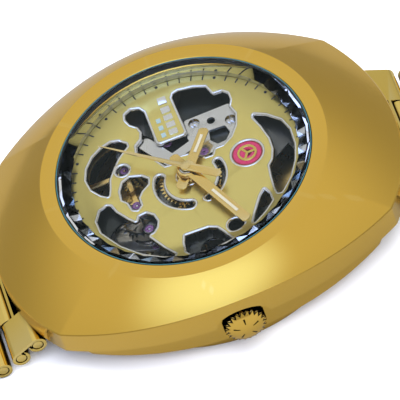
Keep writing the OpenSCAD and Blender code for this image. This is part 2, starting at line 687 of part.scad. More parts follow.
module fourth_wheel() {
    color(brass) at(fourth_at) {
        wheel(80, m_fourth, 6.6, 6.8, 4, 0.9, 0.5);
        rotate(fourth_turn) translate([0, 0, 4.45]) linear_extrude(0.5) polygon(gear_pts(10, m_third));
        translate([0, 0, 3.35]) linear_extrude(0.2) polygon(gear_pts(30, m_sweep));
        arbor(0.26, 3.2, 6.95);
        arbor(0.14, 2.7, 7.25);
    }
}
module sweep_idler() {
    color(brass) at(idler_at) {
        difference() {
            rotate(idler_turn) translate([0, 0, 3.35]) linear_extrude(0.2) polygon(gear_pts(33, m_sweep));
            disc(0.24, 3, 4);
        }
    }
}
module seconds_arbor() {
    color(silver) {
        arbor(0.2, 2.7, 9.98);
        rotate(seconds_turn) translate([0, 0, 3.35]) linear_extrude(0.2) polygon(gear_pts(30, m_sweep));
    }
}
module escape_wheel() {
    color(silver) at(escape_at) {
        translate([0, 0, 5.0]) linear_extrude(0.16) {
            difference() {
                polygon([for (i = [0:19]) each [polar(2.2, 18 * i), polar(2.62, 18 * i + 7), polar(2.65, 18 * i + 8.5),
                    polar(2.22, 18 * i + 10)]]);
                polygon([for (i = [0:23]) polar(1.85, 15 * i)]);
            }
            circle(r = 0.4, $fn = 12);
            for (i = [0:3]) rotate(90 * i) translate([0, -0.12]) square([1.95, 0.24]);
        }
        rotate(escape_turn) translate([0, 0, 6.4]) linear_extrude(0.55) polygon(gear_pts(8, m_fourth));
        arbor(0.2, 3.2, 6.95);
        arbor(0.14, 2.7, 7.25);
    }
}
module pallet_fork() {
    color(silver) at(pallet_at) {
        translate([0, 0, 5.0]) linear_extrude(0.16) {
            rotate(turn(pallet_at, escape_at)) polygon([[-0.35, -0.5], [0.3, -1.45], [1.08, -1.8], [1.18, -1.55],
                [0.6, -1.1], [0.3, -0.3], [0.3, 0.3], [0.6, 1.1], [1.18, 1.55], [1.08, 1.8], [0.3, 1.45], [-0.35, 0.5]]);
            rotate(turn(pallet_at, balance_at)) polygon([[0.05, -0.19], [2.1, -0.08], [2.36, -0.24], [2.4, 0.24],
                [2.1, 0.08], [0.05, 0.19]]);
        }
        arbor(0.14, pallet_z[0] + 0.05, 7.25);
    }
}
module balance_wheel() {
    color(gold) at(balance_at) {
        ring(4.0, 3.45, 3.6, 3.95);
        for (i = [0:2]) rotate(120 * i + 20) translate([0.1, -0.2, 3.65]) cube([3.45, 0.4, 0.2]);
        disc(0.4, 3.6, 3.95);
        disc(0.8, 4.72, 4.86);
        rotate(turn(balance_at, pallet_at)) translate([0.62, 0, 4.8]) cylinder(r = 0.09, h = 0.4, $fn = 12);
        arbor(0.2, 3.3, 6.8);
        arbor(0.11, 2.7, 7.25);
    }
}
module hairspring() {
    turns = 8;
    color([0.25, 0.35, 0.6]) at(balance_at) translate([0, 0, 3.25]) linear_extrude(0.14)
        polygon([for (s = [0, 1]) for (i = [0:turns * 20])
            let (k = s == 0 ? i : turns * 20 - i, r = 0.5 + 2.0 * k / (turns * 20) + (s == 0 ? 0 : 0.06))
            polar(r, 18 * k)]);
}
module rotor() {
    color(silver) difference() {
        union() {
            intersection() {
                union() { disc(12.0, 1.75, 2.0); ring(12.0, 10.4, 1.55, 2.05); }
                rotate(200) translate([0, 0, 1]) linear_extrude(3)
                    polygon(concat([[0, 0]], [for (i = [0:12]) polar(14, i * 15)]));
            }
            disc(2.4, 1.75, 2.0);
        }
        disc(1.5, 1, 3);
        for (i = [0:3]) rotate(230 + 40 * i) translate([6.6, 0, 0]) disc(1.5, 1, 3);
    }
}
module rotor_bearing() {
    color([0.5, 0.5, 0.53]) union() {
        ring(1.44, 0.5, 1.7, 2.1);
        ring(1.1, 0.5, 2.1, 2.62);
        disc(0.48, 1.65, 2.3);
    }
}

// ---- bracelet ----
// Link plate lying between two pins, with a rolled end round each pin
module rolled_link(p, q, x0, x1) {
    len = norm(q - p);
    slope = atan2(q[1] - p[1], q[0] - p[0]);
    translate([0, p[0], p[1]]) rotate([slope, 0, 0]) translate([x0, 0, 0]) rotate([90, 0, 90]) linear_extrude(x1 - x0)
        difference() {
            union() {
                translate([0, roll_r - sheet_t]) square([len, sheet_t]);
                for (y = [0, len]) translate([y, 0]) circle(r = roll_r);
            }
            for (y = [0, len]) translate([y, 0]) circle(r = roll_r - sheet_t);
            for (y = [0.5, len - 0.78]) translate([y, 0.1]) square([0.28, roll_r - sheet_t - 0.1]);
        }
}
module h_link(k) {
    p = pin_at(k);
    q = pin_at(k + 1);
    slope = atan2(q[1] - p[1], q[0] - p[0]);
    for (s = [1, -1]) rolled_link(p, q, s > 0 ? mid_width / 2 + 0.15 : -band_width / 2,
        s > 0 ? band_width / 2 : -mid_width / 2 - 0.15);
    translate([-mid_width / 2 - 0.5, p[0], p[1]]) rotate([slope, 0, 0])
        translate([0, pitch / 2 - 0.16, 0.1]) cube([mid_width + 1, 0.32, roll_r - 0.1]);
    for (c = [p, q]) translate([-band_width / 2 + 0.06, c[0], c[1]]) rotate([0, 90, 0])
        cylinder(r = pin_r, h = band_width - 0.12, $fn = 32);
}
module centre_link(k) { rolled_link(pin_at(k), pin_at(k + 1), -mid_width / 2, mid_width / 2); }
module link_run(part, s) {
    color(gold) mirror([0, s > 0 ? 0 : 1, 0]) for (i = [0:2]) {
        h_link(links_per_part * part + 2 * i);
        centre_link(links_per_part * part + 2 * i + 1);
    }
}
module end_link(s) {
    p = pin_at(0);
    color(gold) mirror([0, s > 0 ? 0 : 1, 0]) difference() {
        union() {
            translate([-9.2, 17.55, 2.7]) cube([18.4, 2.2, 2.9]);
            rolled_link([18.9, 4.35], p, -mid_width / 2, mid_width / 2);
        }
        translate([-10, bar_at[0], bar_at[1]]) rotate([0, 90, 0]) cylinder(r = 0.62, h = 20);
    }
}
module spring_bars() {
    color(silver) for (s = [1, -1]) translate([0, s * bar_at[0], bar_at[1]]) rotate([0, 90, 0]) {
        disc(0.56, -9.0, 9.0);
        disc(0.4, -10.3, 10.3);
    }
}

// ---- clasp ----
// Side knuckles and pin that join a clasp piece to the last centre link
module end_knuckles(p) {
    for (s = [1, -1]) rolled_link(p, p + [2.0, 0], s > 0 ? mid_width / 2 + 0.15 : -band_width / 2 + 0.4,
        s > 0 ? band_width / 2 - 0.4 : -mid_width / 2 - 0.15);
    translate([-band_width / 2 + 0.5, p[0], p[1]]) rotate([0, 90, 0])
        cylinder(r = pin_r, h = band_width - 1, $fn = 32);
}
module clasp_cover() {
    p = pin_at(last_pin);
    color(gold) mirror([0, 1, 0]) {
        difference() {
            translate([-9.6, p[0] + 1.4, 0.02]) cube([19.2, 20, 2.9]);
            translate([-8.9, p[0] + 0.4, -1]) cube([17.8, 22, 3.3]);
        }
        end_knuckles(p);
        translate([-9.3, p[0] + 19.6, 1.4]) rotate([0, 90, 0]) cylinder(r = 0.5, h = 18.6);
    }
}
module clasp_arm() {
    p = pin_at(last_pin) + [19.6, 0.4];
    color(gold) mirror([0, 1, 0]) difference() {
        union() {
            translate([0, p[0], 1.4]) rotate([0, 90, 0]) cylinder(r = 0.84, h = 17.0, center = true);
            translate([-8.5, p[0] + 0.2, 0.42]) cube([17.0, 17.6, 0.7]);
            translate([-6, p[0] + 17.2, 0.42]) cube([12, 0.6, 1.9]);
            translate([-6, p[0] + 16.2, 1.72]) cube([12, 1.6, 0.6]);
        }
        translate([0, p[0], 1.4]) rotate([0, 90, 0]) cylinder(r = 0.56, h = 20, center = true);
        translate([-6.3, p[0] + 2.4, -1]) cube([12.6, 12.6, 4]);
    }
}
module clasp_anchor() {
    p = pin_at(last_pin);
    color(gold) {
        end_knuckles(p);
        difference() {
            translate([-8.4, p[0] + 1.3, 0.1]) cube([16.8, 5.4, 1.85]);
            translate([-6.6, p[0] + 2.6, -1]) cube([13.2, 2.6, 4]);
        }
        translate([-6.8, p[0] + 3.3, 1.0]) rotate([0, 90, 0]) cylinder(r = 0.45, h = 13.6);
    }
}

module links_12_a() { link_run(0, 1); }
module links_12_b() { link_run(1, 1); }
module links_12_c() { link_run(2, 1); }
module links_12_d() { link_run(3, 1); }
module links_6_a() { link_run(0, -1); }
module links_6_b() { link_run(1, -1); }
module links_6_c() { link_run(2, -1); }
module links_6_d() { link_run(3, -1); }
module end_link_12() { end_link(1); }
module end_link_6() { end_link(-1); }

bezel();
crystal();
crystal_gasket();
rehaut_ring();
case_body();
case_back();
back_crystal();
back_gasket();
crown_tube();
crown();
winding_stem();
sliding_clutch();
setting_lever();
dial();
dial_markers();
dial_blocks();
emblem_disc();
hour_hand();
minute_hand();
seconds_hand();
main_plate();
dial_side_bridge();
train_bridge();
barrel_bridge();
balance_cock();
jewels();
bridge_screws();
cannon_pinion();
hour_wheel();
minute_wheel();
barrel();
mainspring();
ratchet_wheel();
click();
centre_wheel();
third_wheel();
fourth_wheel();
sweep_idler();
seconds_arbor();
escape_wheel();
pallet_fork();
balance_wheel();
hairspring();
rotor();
rotor_bearing();
movement_clamps();
end_link_12();
end_link_6();
spring_bars();
links_12_a();
links_12_b();
links_12_c();
links_12_d();
links_6_a();
links_6_b();
links_6_c();
links_6_d();
clasp_cover();
clasp_arm();
clasp_anchor();
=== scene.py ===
import math

import bpy
from mathutils import Matrix, Vector


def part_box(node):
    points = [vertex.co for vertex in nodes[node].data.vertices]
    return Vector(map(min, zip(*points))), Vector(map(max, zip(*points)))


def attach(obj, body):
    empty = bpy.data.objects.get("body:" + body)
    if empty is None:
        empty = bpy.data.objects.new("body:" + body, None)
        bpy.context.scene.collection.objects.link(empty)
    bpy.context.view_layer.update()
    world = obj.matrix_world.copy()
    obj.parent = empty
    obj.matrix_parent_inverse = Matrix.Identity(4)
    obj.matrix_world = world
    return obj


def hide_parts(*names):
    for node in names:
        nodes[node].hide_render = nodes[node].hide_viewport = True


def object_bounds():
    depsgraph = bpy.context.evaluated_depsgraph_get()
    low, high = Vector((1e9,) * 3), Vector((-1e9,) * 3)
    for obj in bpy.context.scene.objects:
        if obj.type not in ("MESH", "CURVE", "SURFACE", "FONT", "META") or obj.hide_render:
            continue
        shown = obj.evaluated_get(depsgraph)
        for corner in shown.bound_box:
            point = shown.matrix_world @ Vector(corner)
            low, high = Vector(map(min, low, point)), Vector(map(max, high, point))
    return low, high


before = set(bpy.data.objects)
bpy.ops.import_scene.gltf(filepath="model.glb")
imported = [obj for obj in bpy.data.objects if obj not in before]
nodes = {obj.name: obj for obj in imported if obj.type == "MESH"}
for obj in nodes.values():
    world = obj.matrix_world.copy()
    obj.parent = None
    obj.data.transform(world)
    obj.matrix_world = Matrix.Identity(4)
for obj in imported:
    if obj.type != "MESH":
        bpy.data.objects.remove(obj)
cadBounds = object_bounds()
scene = bpy.context.scene
mm = 0.001


# ---- small helpers ----
def addNode(tree, kind, **settings):
    node = tree.nodes.new(kind)
    for key, value in settings.items():
        setattr(node, key, value)
    return node


def addMath(tree, operation, value=None):
    node = addNode(tree, "ShaderNodeMath", operation=operation)
    if value is not None:
        node.inputs[1].default_value = value
    return node


def addRange(tree, start, end, smooth=False):
    # takes start to end onto 0 to 1
    node = addNode(tree, "ShaderNodeMapRange", interpolation_type="SMOOTHSTEP" if smooth else "LINEAR")
    node.inputs["From Min"].default_value = start
    node.inputs["From Max"].default_value = end
    return node


def addMix(tree, first=None, second=None):
    node = addNode(tree, "ShaderNodeMix", data_type="RGBA")
    for socket, colour in (("A", first), ("B", second)):
        if colour is not None:
            node.inputs[socket].default_value = colour
    return node


def makeGroup(name, inputs, outputs):
    tree = bpy.data.node_groups.new(name, "ShaderNodeTree")
    for label, kind, value in inputs:
        socket = tree.interface.new_socket(name=label, in_out="INPUT", socket_type=kind)
        socket.default_value = value
    for label, kind in outputs:
        tree.interface.new_socket(name=label, in_out="OUTPUT", socket_type=kind)
    return tree, tree.nodes.new("NodeGroupInput"), tree.nodes.new("NodeGroupOutput")


def useGroup(tree, group, **values):
    node = addNode(tree, "ShaderNodeGroup", node_tree=group)
    for key, value in values.items():
        node.inputs[key].default_value = value
    return node


# ---- shared shader groups ----
hazeLook = {"detail": 4, "low": 0.35, "high": 0.65}


def makeHaze():
    # roughness that drifts a little, as on metal that has been wiped by hand
    tree, inside, out = makeGroup(
        "softHaze",
        [("Scale", "NodeSocketFloat", 180.0), ("Low", "NodeSocketFloat", 0.1), ("High", "NodeSocketFloat", 0.2)],
        [("Roughness", "NodeSocketFloat")],
    )
    place = addNode(tree, "ShaderNodeTexCoord")
    noise = addNode(tree, "ShaderNodeTexNoise")
    noise.inputs["Detail"].default_value = hazeLook["detail"]
    spread = addRange(tree, hazeLook["low"], hazeLook["high"])
    tree.links.new(place.outputs["Object"], noise.inputs["Vector"])
    tree.links.new(inside.outputs["Scale"], noise.inputs["Scale"])
    tree.links.new(noise.outputs["Fac"], spread.inputs["Value"])
    tree.links.new(inside.outputs["Low"], spread.inputs["To Min"])
    tree.links.new(inside.outputs["High"], spread.inputs["To Max"])
    tree.links.new(spread.outputs["Result"], out.inputs["Roughness"])
    return tree


paintedEdgeLightLook = {"proud": (0.51, 0.58), "sunk": (0.49, 0.42)}


def makePaintedEdgeLight():
    # painted highlight where an edge stands out (lighter colour), and painted shade in the creases (darker colour)
    tree, inside, out = makeGroup(
        "paintedEdgeGleamAndCreaseShade",
        [("Body", "NodeSocketColor", (1, 1, 1, 1)), ("Edge", "NodeSocketColor", (1, 1, 1, 1)),
         ("Crease", "NodeSocketColor", (0, 0, 0, 1)), ("Amount", "NodeSocketFloat", 0.5)],
        [("Color", "NodeSocketColor")],
    )
    shape = addNode(tree, "ShaderNodeNewGeometry")
    proud = addRange(tree, *paintedEdgeLightLook["proud"])
    sunk = addRange(tree, *paintedEdgeLightLook["sunk"])
    edges = addMath(tree, "MULTIPLY")
    creases = addMath(tree, "MULTIPLY")
    light = addMix(tree)
    dark = addMix(tree)
    for ramp, scaled in ((proud, edges), (sunk, creases)):
        tree.links.new(shape.outputs["Pointiness"], ramp.inputs["Value"])
        tree.links.new(ramp.outputs["Result"], scaled.inputs[0])
        tree.links.new(inside.outputs["Amount"], scaled.inputs[1])
    tree.links.new(edges.outputs[0], light.inputs["Factor"])
    tree.links.new(inside.outputs["Body"], light.inputs["A"])
    tree.links.new(inside.outputs["Edge"], light.inputs["B"])
    tree.links.new(creases.outputs[0], dark.inputs["Factor"])
    tree.links.new(light.outputs["Result"], dark.inputs["A"])
    tree.links.new(inside.outputs["Crease"], dark.inputs["B"])
    tree.links.new(dark.outputs["Result"], out.inputs["Color"])
    return tree


grainLook = {"across": (9000, 300, 9000), "detail": 3}


def makeGrain():
    # fine straight brushing: noise that is drawn out along one direction
    tree, inside, out = makeGroup(
        "brushedGrain",
        [("Across", "NodeSocketVector", grainLook["across"])],
        [("Height", "NodeSocketFloat")],
    )
    place = addNode(tree, "ShaderNodeTexCoord")
    stretch = addNode(tree, "ShaderNodeVectorMath", operation="MULTIPLY")
    noise = addNode(tree, "ShaderNodeTexNoise")
    noise.inputs["Scale"].default_value = 1
    noise.inputs["Detail"].default_value = grainLook["detail"]
    tree.links.new(place.outputs["Object"], stretch.inputs[0])
    tree.links.new(inside.outputs["Across"], stretch.inputs[1])
    tree.links.new(stretch.outputs[0], noise.inputs["Vector"])
    tree.links.new(noise.outputs["Fac"], out.inputs["Height"])
    return tree


sunrayLook = {"lines": 60.0, "detail": 5}


def makeSunray():
    # brushing that runs out from the middle of the dial, and the distance from that middle
    tree, inside, out = makeGroup(
        "sunray",
        [("Lines", "NodeSocketFloat", sunrayLook["lines"])],
        [("Height", "NodeSocketFloat"), ("Reach", "NodeSocketFloat")],
    )
    place = addNode(tree, "ShaderNodeTexCoord")
    split = addNode(tree, "ShaderNodeSeparateXYZ")
    angle = addMath(tree, "ARCTAN2")
    turned = addMath(tree, "MULTIPLY")
    flat = addNode(tree, "ShaderNodeCombineXYZ")
    length = addNode(tree, "ShaderNodeVectorMath", operation="LENGTH")
    noise = addNode(tree, "ShaderNodeTexNoise", noise_dimensions="1D")
    noise.inputs["Detail"].default_value = sunrayLook["detail"]
    noise.inputs["Scale"].default_value = 1
    tree.links.new(place.outputs["Object"], split.inputs[0])
    tree.links.new(split.outputs["Y"], angle.inputs[0])
    tree.links.new(split.outputs["X"], angle.inputs[1])
    tree.links.new(angle.outputs[0], turned.inputs[0])
    tree.links.new(inside.outputs["Lines"], turned.inputs[1])
    tree.links.new(turned.outputs[0], noise.inputs["W"])
    tree.links.new(split.outputs["X"], flat.inputs["X"])
    tree.links.new(split.outputs["Y"], flat.inputs["Y"])
    tree.links.new(flat.outputs[0], length.inputs[0])
    tree.links.new(noise.outputs["Fac"], out.inputs["Height"])
    tree.links.new(length.outputs["Value"], out.inputs["Reach"])
    return tree


haze = makeHaze()
paintedEdgeLight = makePaintedEdgeLight()
grain = makeGrain()
sunray = makeSunray()
print("shader groups made")


# ---- materials ----
def startMaterial(name):
    mat = bpy.data.materials.new(name)
    mat.use_nodes = True
    tree = mat.node_tree
    tree.nodes.clear()
    out = addNode(tree, "ShaderNodeOutputMaterial")
    shader = addNode(tree, "ShaderNodeBsdfPrincipled")
    tree.links.new(shader.outputs[0], out.inputs["Surface"])
    return mat, tree, shader


def addBump(tree, shader, height, strength, distance):
    bump = addNode(tree, "ShaderNodeBump")
    bump.inputs["Strength"].default_value = strength
    bump.inputs["Distance"].default_value = distance
    tree.links.new(height, bump.inputs["Height"])
    tree.links.new(bump.outputs[0], shader.inputs["Normal"])


def useHaze(tree, look):
    return useGroup(tree, haze, Scale=look["roughScale"], Low=look["rough"][0], High=look["rough"][1])


metalLook = {"coatRough": 0.04, "brushDepth": 0.02}


def makeMetal(name, body, edge, crease, rough, brush=None, brushStrength=0.08, paintedEdgeLightAmount=0.5, coat=0.0,
              metallic=1.0):
    mat, tree, shader = startMaterial(name)
    shader.inputs["Metallic"].default_value = metallic
    shader.inputs["Coat Weight"].default_value = coat
    shader.inputs["Coat Roughness"].default_value = metalLook["coatRough"]
    # edge and crease colours give a painted highlight on proud edges and painted shade in creases
    colour = useGroup(tree, paintedEdgeLight, Body=body, Edge=edge, Crease=crease, Amount=paintedEdgeLightAmount)
    soft = useGroup(tree, haze, Low=rough[0], High=rough[1])
    tree.links.new(colour.outputs["Color"], shader.inputs["Base Color"])
    tree.links.new(soft.outputs["Roughness"], shader.inputs["Roughness"])
    if brush:
        lines = useGroup(tree, grain, Across=brush)
        addBump(tree, shader, lines.outputs["Height"], brushStrength, metalLook["brushDepth"] * mm)
    return mat


# after each body colour come its painted highlight for proud edges and its painted shade for creases
polishedGold = makeMetal("polishedGold", (0.88, 0.555, 0.085, 1), (0.95, 0.68, 0.2, 1), (0.30, 0.17, 0.03, 1),
                         (0.13, 0.17), paintedEdgeLightAmount=0.25, coat=0.25)
handGold = makeMetal("handGold", (0.96, 0.68, 0.22, 1), (1.0, 0.86, 0.5, 1), (0.25, 0.15, 0.03, 1), (0.16, 0.24),
                     paintedEdgeLightAmount=0.5)
gearBrass = makeMetal("gearBrass", (0.95, 0.64, 0.20, 1), (1.0, 0.82, 0.42, 1), (0.10, 0.05, 0.01, 1), (0.15, 0.3),
                      brush=(4000, 4000, 9000), paintedEdgeLightAmount=0.8)
bridgeSteel = makeMetal("bridgeSteel", (0.74, 0.71, 0.65, 1), (0.9, 0.9, 0.88, 1), (0.10, 0.10, 0.10, 1), (0.22, 0.36),
                        brush=(9000, 500, 9000), paintedEdgeLightAmount=0.6)
rimSteel = makeMetal("rimSteel", (0.86, 0.85, 0.83, 1), (0.95, 0.95, 0.93, 1), (0.05, 0.05, 0.05, 1), (0.04, 0.1),
                     paintedEdgeLightAmount=0.5)
pivotSteel = makeMetal("pivotSteel", (0.55, 0.55, 0.56, 1), (0.9, 0.9, 0.9, 1), (0.05, 0.05, 0.05, 1), (0.08, 0.18),
                       paintedEdgeLightAmount=0.5)
blackPlate = makeMetal("blackPlate", (0.020, 0.026, 0.024, 1), (0.3, 0.3, 0.3, 1), (0.005, 0.005, 0.005, 1),
                       (0.25, 0.4), brush=(700, 9000, 9000), paintedEdgeLightAmount=0.6)
blueSpring = makeMetal("blueSpring", (0.05, 0.09, 0.26, 1), (0.3, 0.4, 0.7, 1), (0.01, 0.01, 0.04, 1), (0.15, 0.25))
springSteel = makeMetal("springSteel", (0.30, 0.31, 0.33, 1), (0.7, 0.7, 0.7, 1), (0.04, 0.04, 0.04, 1), (0.15, 0.3))
blackRubber = makeMetal("blackRubber", (0.006, 0.007, 0.009, 1), (0.02, 0.02, 0.025, 1), (0.002, 0.002, 0.002, 1),
                        (0.35, 0.5), metallic=0.0)
tealLine = makeMetal("tealLine", (0.02, 0.09, 0.11, 1), (0.05, 0.2, 0.24, 1), (0.004, 0.01, 0.012, 1), (0.2, 0.3),
                     metallic=0.0)
blackPrint = makeMetal("blackPrint", (0.012, 0.012, 0.012, 1), (0.03, 0.03, 0.03, 1), (0.004, 0.004, 0.004, 1),
                       (0.4, 0.6), metallic=0.0)
lumePaint = makeMetal("lumePaint", (0.46, 0.41, 0.30, 1), (0.55, 0.5, 0.38, 1), (0.25, 0.22, 0.14, 1), (0.6, 0.75),
                      brush=(6000, 6000, 6000), brushStrength=0.3, metallic=0.0)
paleInk = makeMetal("paleInk", (0.22, 0.30, 0.33, 1), (0.3, 0.4, 0.42, 1), (0.3, 0.35, 0.35, 1), (0.3, 0.45),
                    metallic=0.0)


dialLook = {
    "middle": (1.0, 0.83, 0.27, 1), "rim": (0.62, 0.52, 0.17, 1), "wall": (0.85, 0.85, 0.82, 1), "lines": 90.0,
    "fade": (8.8, 12.6), "steep": (0.75, 0.5), "rough": (0.30, 0.36), "roughScale": 300.0, "bump": 0.12, "depth": 0.03,
}


def makeDial(look):
    # brushed pale gold on top with painted shade that darkens it outwards towards the rim, bright steel down the cut
    # walls
    mat, tree, shader = startMaterial("dialGold")
    shader.inputs["Metallic"].default_value = 1
    rays = useGroup(tree, sunray, Lines=look["lines"])
    fade = addRange(tree, look["fade"][0] * mm, look["fade"][1] * mm)
    # painted shade: the gold darkens from the middle colour to the rim colour between the fade radii
    paintedRimShade = addMix(tree, look["middle"], look["rim"])
    shape = addNode(tree, "ShaderNodeNewGeometry")
    split = addNode(tree, "ShaderNodeSeparateXYZ")
    upright = addRange(tree, *look["steep"])
    walls = addMix(tree, second=look["wall"])
    soft = useHaze(tree, look)
    tree.links.new(rays.outputs["Reach"], fade.inputs["Value"])
    tree.links.new(fade.outputs["Result"], paintedRimShade.inputs["Factor"])
    tree.links.new(shape.outputs["True Normal"], split.inputs[0])
    tree.links.new(split.outputs["Z"], upright.inputs["Value"])
    tree.links.new(paintedRimShade.outputs["Result"], walls.inputs["A"])
    tree.links.new(upright.outputs["Result"], walls.inputs["Factor"])
    tree.links.new(walls.outputs["Result"], shader.inputs["Base Color"])
    tree.links.new(soft.outputs["Roughness"], shader.inputs["Roughness"])
    addBump(tree, shader, rays.outputs["Height"], look["bump"], look["depth"] * mm)
    return mat


emblemLook = {
    "lacquer": (0.36, 0.022, 0.085, 1), "edge": (0.12, 0.008, 0.012, 1), "gold": (0.84, 0.64, 0.17, 1),
    "relief": 0.1, "rim": (1.46, 1.56), "rough": (0.18, 0.26), "roughScale": 500.0,
}


def makeEmblem(look):
    # red lacquer with everything that stands above it left as gold
    mat, tree, shader = startMaterial("emblemLacquer")
    low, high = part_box("emblem_disc")
    middle = (low + high) / 2
    place = addNode(tree, "ShaderNodeTexCoord")
    split = addNode(tree, "ShaderNodeSeparateXYZ")
    raised = addMath(tree, "GREATER_THAN", high.z - look["relief"] * mm)
    away = addNode(tree, "ShaderNodeVectorMath", operation="DISTANCE")
    away.inputs[1].default_value = (middle.x, middle.y, high.z)
    rim = addRange(tree, look["rim"][0] * mm, look["rim"][1] * mm)
    lacquer = addMix(tree, look["lacquer"], look["edge"])
    face = addMix(tree, second=look["gold"])
    soft = useHaze(tree, look)
    tree.links.new(place.outputs["Object"], split.inputs[0])
    tree.links.new(place.outputs["Object"], away.inputs[0])
    tree.links.new(split.outputs["Z"], raised.inputs[0])
    tree.links.new(away.outputs["Value"], rim.inputs["Value"])
    tree.links.new(rim.outputs["Result"], lacquer.inputs["Factor"])
    tree.links.new(lacquer.outputs["Result"], face.inputs["A"])
    tree.links.new(raised.outputs[0], face.inputs["Factor"])
    tree.links.new(face.outputs["Result"], shader.inputs["Base Color"])
    tree.links.new(raised.outputs[0], shader.inputs["Metallic"])
    tree.links.new(soft.outputs["Roughness"], shader.inputs["Roughness"])
    return mat


glassLook = {
    "colour": (0.97, 0.985, 0.985, 1), "ior": 1.77, "glare": (0.05, 0.08, 0.085, 1), "rough": (0.0, 0.004),
    "roughScale": 60.0, "shadow": (0.94, 0.95, 0.95, 1),
}


def makeGlass(name, look):
    # clear glass that lets the lamps' light straight through to what lies under it
    mat, tree, shader = startMaterial(name)
    shader.inputs["Base Color"].default_value = look["colour"]
    shader.inputs["Transmission Weight"].default_value = 1
    shader.inputs["IOR"].default_value = look["ior"]
    shader.inputs["Specular Tint"].default_value = look["glare"]
    soft = useHaze(tree, look)
    tree.links.new(soft.outputs["Roughness"], shader.inputs["Roughness"])
    path = addNode(tree, "ShaderNodeLightPath")
    clear = addNode(tree, "ShaderNodeBsdfTransparent")
    clear.inputs[0].default_value = look["shadow"]
    blend = addNode(tree, "ShaderNodeMixShader")
    tree.links.new(path.outputs["Is Shadow Ray"], blend.inputs[0])
    tree.links.new(shader.outputs[0], blend.inputs[1])
    tree.links.new(clear.outputs[0], blend.inputs[2])
    tree.links.new(blend.outputs[0], tree.nodes["Material Output"].inputs["Surface"])
    return mat


facetLook = {
    "count": 34, "from": -120, "to": 120, "inner": 12.3, "outer": 13.2, "z": (10.45, 11.25), "swing": 0.06,
    "tones": [(0.0, (0.03, 0.03, 0.025, 1)), (0.2, (0.30, 0.23, 0.12, 1)), (0.4, (0.16, 0.17, 0.17, 1)),
              (0.6, (0.35, 0.48, 0.62, 1)), (0.78, (0.85, 0.88, 0.9, 1))],
    "rough": (0.05, 0.14), "roughScale": 900.0,
}


def makeFacets(name, look):
    # the cut rim of the crystal, with painted glints and reflections: each facet gleams in its own grey, blue or
    # brown, picked at random
    mat, tree, shader = startMaterial(name)
    shader.inputs["Metallic"].default_value = 1
    place = addNode(tree, "ShaderNodeTexCoord")
    split = addNode(tree, "ShaderNodeSeparateXYZ")
    angle = addMath(tree, "ARCTAN2")
    cell = addMath(tree, "MULTIPLY", 2 * look["count"] / (2 * math.pi))
    whole = addMath(tree, "FLOOR")
    pick = addNode(tree, "ShaderNodeTexWhiteNoise", noise_dimensions="1D")
    # painted glints and reflections: one random tone for each facet
    tones = addNode(tree, "ShaderNodeValToRGB")
    tones.color_ramp.interpolation = "CONSTANT"
    tones.color_ramp.elements.remove(tones.color_ramp.elements[1])
    for at, tone in look["tones"]:
        stop = tones.color_ramp.elements[0] if at == 0 else tones.color_ramp.elements.new(at)
        stop.color = tone
    soft = useHaze(tree, look)
    tree.links.new(place.outputs["Object"], split.inputs[0])
    tree.links.new(split.outputs["Y"], angle.inputs[0])
    tree.links.new(split.outputs["X"], angle.inputs[1])
    tree.links.new(angle.outputs[0], cell.inputs[0])
    tree.links.new(cell.outputs[0], whole.inputs[0])
    tree.links.new(whole.outputs[0], pick.inputs["W"])
    tree.links.new(pick.outputs["Value"], tones.inputs[0])
    tree.links.new(tones.outputs["Color"], shader.inputs["Base Color"])
    tree.links.new(soft.outputs["Roughness"], shader.inputs["Roughness"])
    return mat


linkLook = {
    "body": (0.97, 0.69, 0.14, 1), "edge": (1.0, 0.84, 0.4, 1), "crease": (0.10, 0.05, 0.01, 1),
    "gap": (0.02, 0.012, 0.002, 1), "reach": 0.9, "samples": 8, "open": (0.35, 0.85), "rough": (0.06, 0.13),
    "roughScale": 260.0,
}


def makeLinks(look):
    # polished gold with painted shade that goes almost black where two links lie close together, plus a painted
    # highlight on proud edges and painted shade in creases
    mat, tree, shader = startMaterial("linkGold")
    shader.inputs["Metallic"].default_value = 1
    colour = useGroup(tree, paintedEdgeLight, Body=look["body"], Edge=look["edge"], Crease=look["crease"])
    gaps = addNode(tree, "ShaderNodeAmbientOcclusion", samples=look["samples"])
    gaps.inputs["Distance"].default_value = look["reach"] * mm
    deep = addRange(tree, *look["open"])
    shade = addMix(tree, look["gap"])
    soft = useHaze(tree, look)
    tree.links.new(gaps.outputs["AO"], deep.inputs["Value"])
    tree.links.new(deep.outputs["Result"], shade.inputs["Factor"])
    tree.links.new(colour.outputs["Color"], shade.inputs["B"])
    tree.links.new(shade.outputs["Result"], shader.inputs["Base Color"])
    tree.links.new(soft.outputs["Roughness"], shader.inputs["Roughness"])
    return mat


rubyLook = {
    "body": (0.055, 0.012, 0.07, 1), "edge": (0.2, 0.1, 0.25, 1), "crease": (0.03, 0.0, 0.04, 1), "coat": 0.6,
    "rough": (0.05, 0.12), "roughScale": 900.0,
}


def makeRuby(look):
    mat, tree, shader = startMaterial("jewelRuby")
    # painted highlight on proud edges and painted shade in creases
    colour = useGroup(tree, paintedEdgeLight, Body=look["body"], Edge=look["edge"], Crease=look["crease"])
    soft = useHaze(tree, look)
    shader.inputs["Coat Weight"].default_value = look["coat"]
    tree.links.new(colour.outputs["Color"], shader.inputs["Base Color"])
    tree.links.new(soft.outputs["Roughness"], shader.inputs["Roughness"])
    return mat


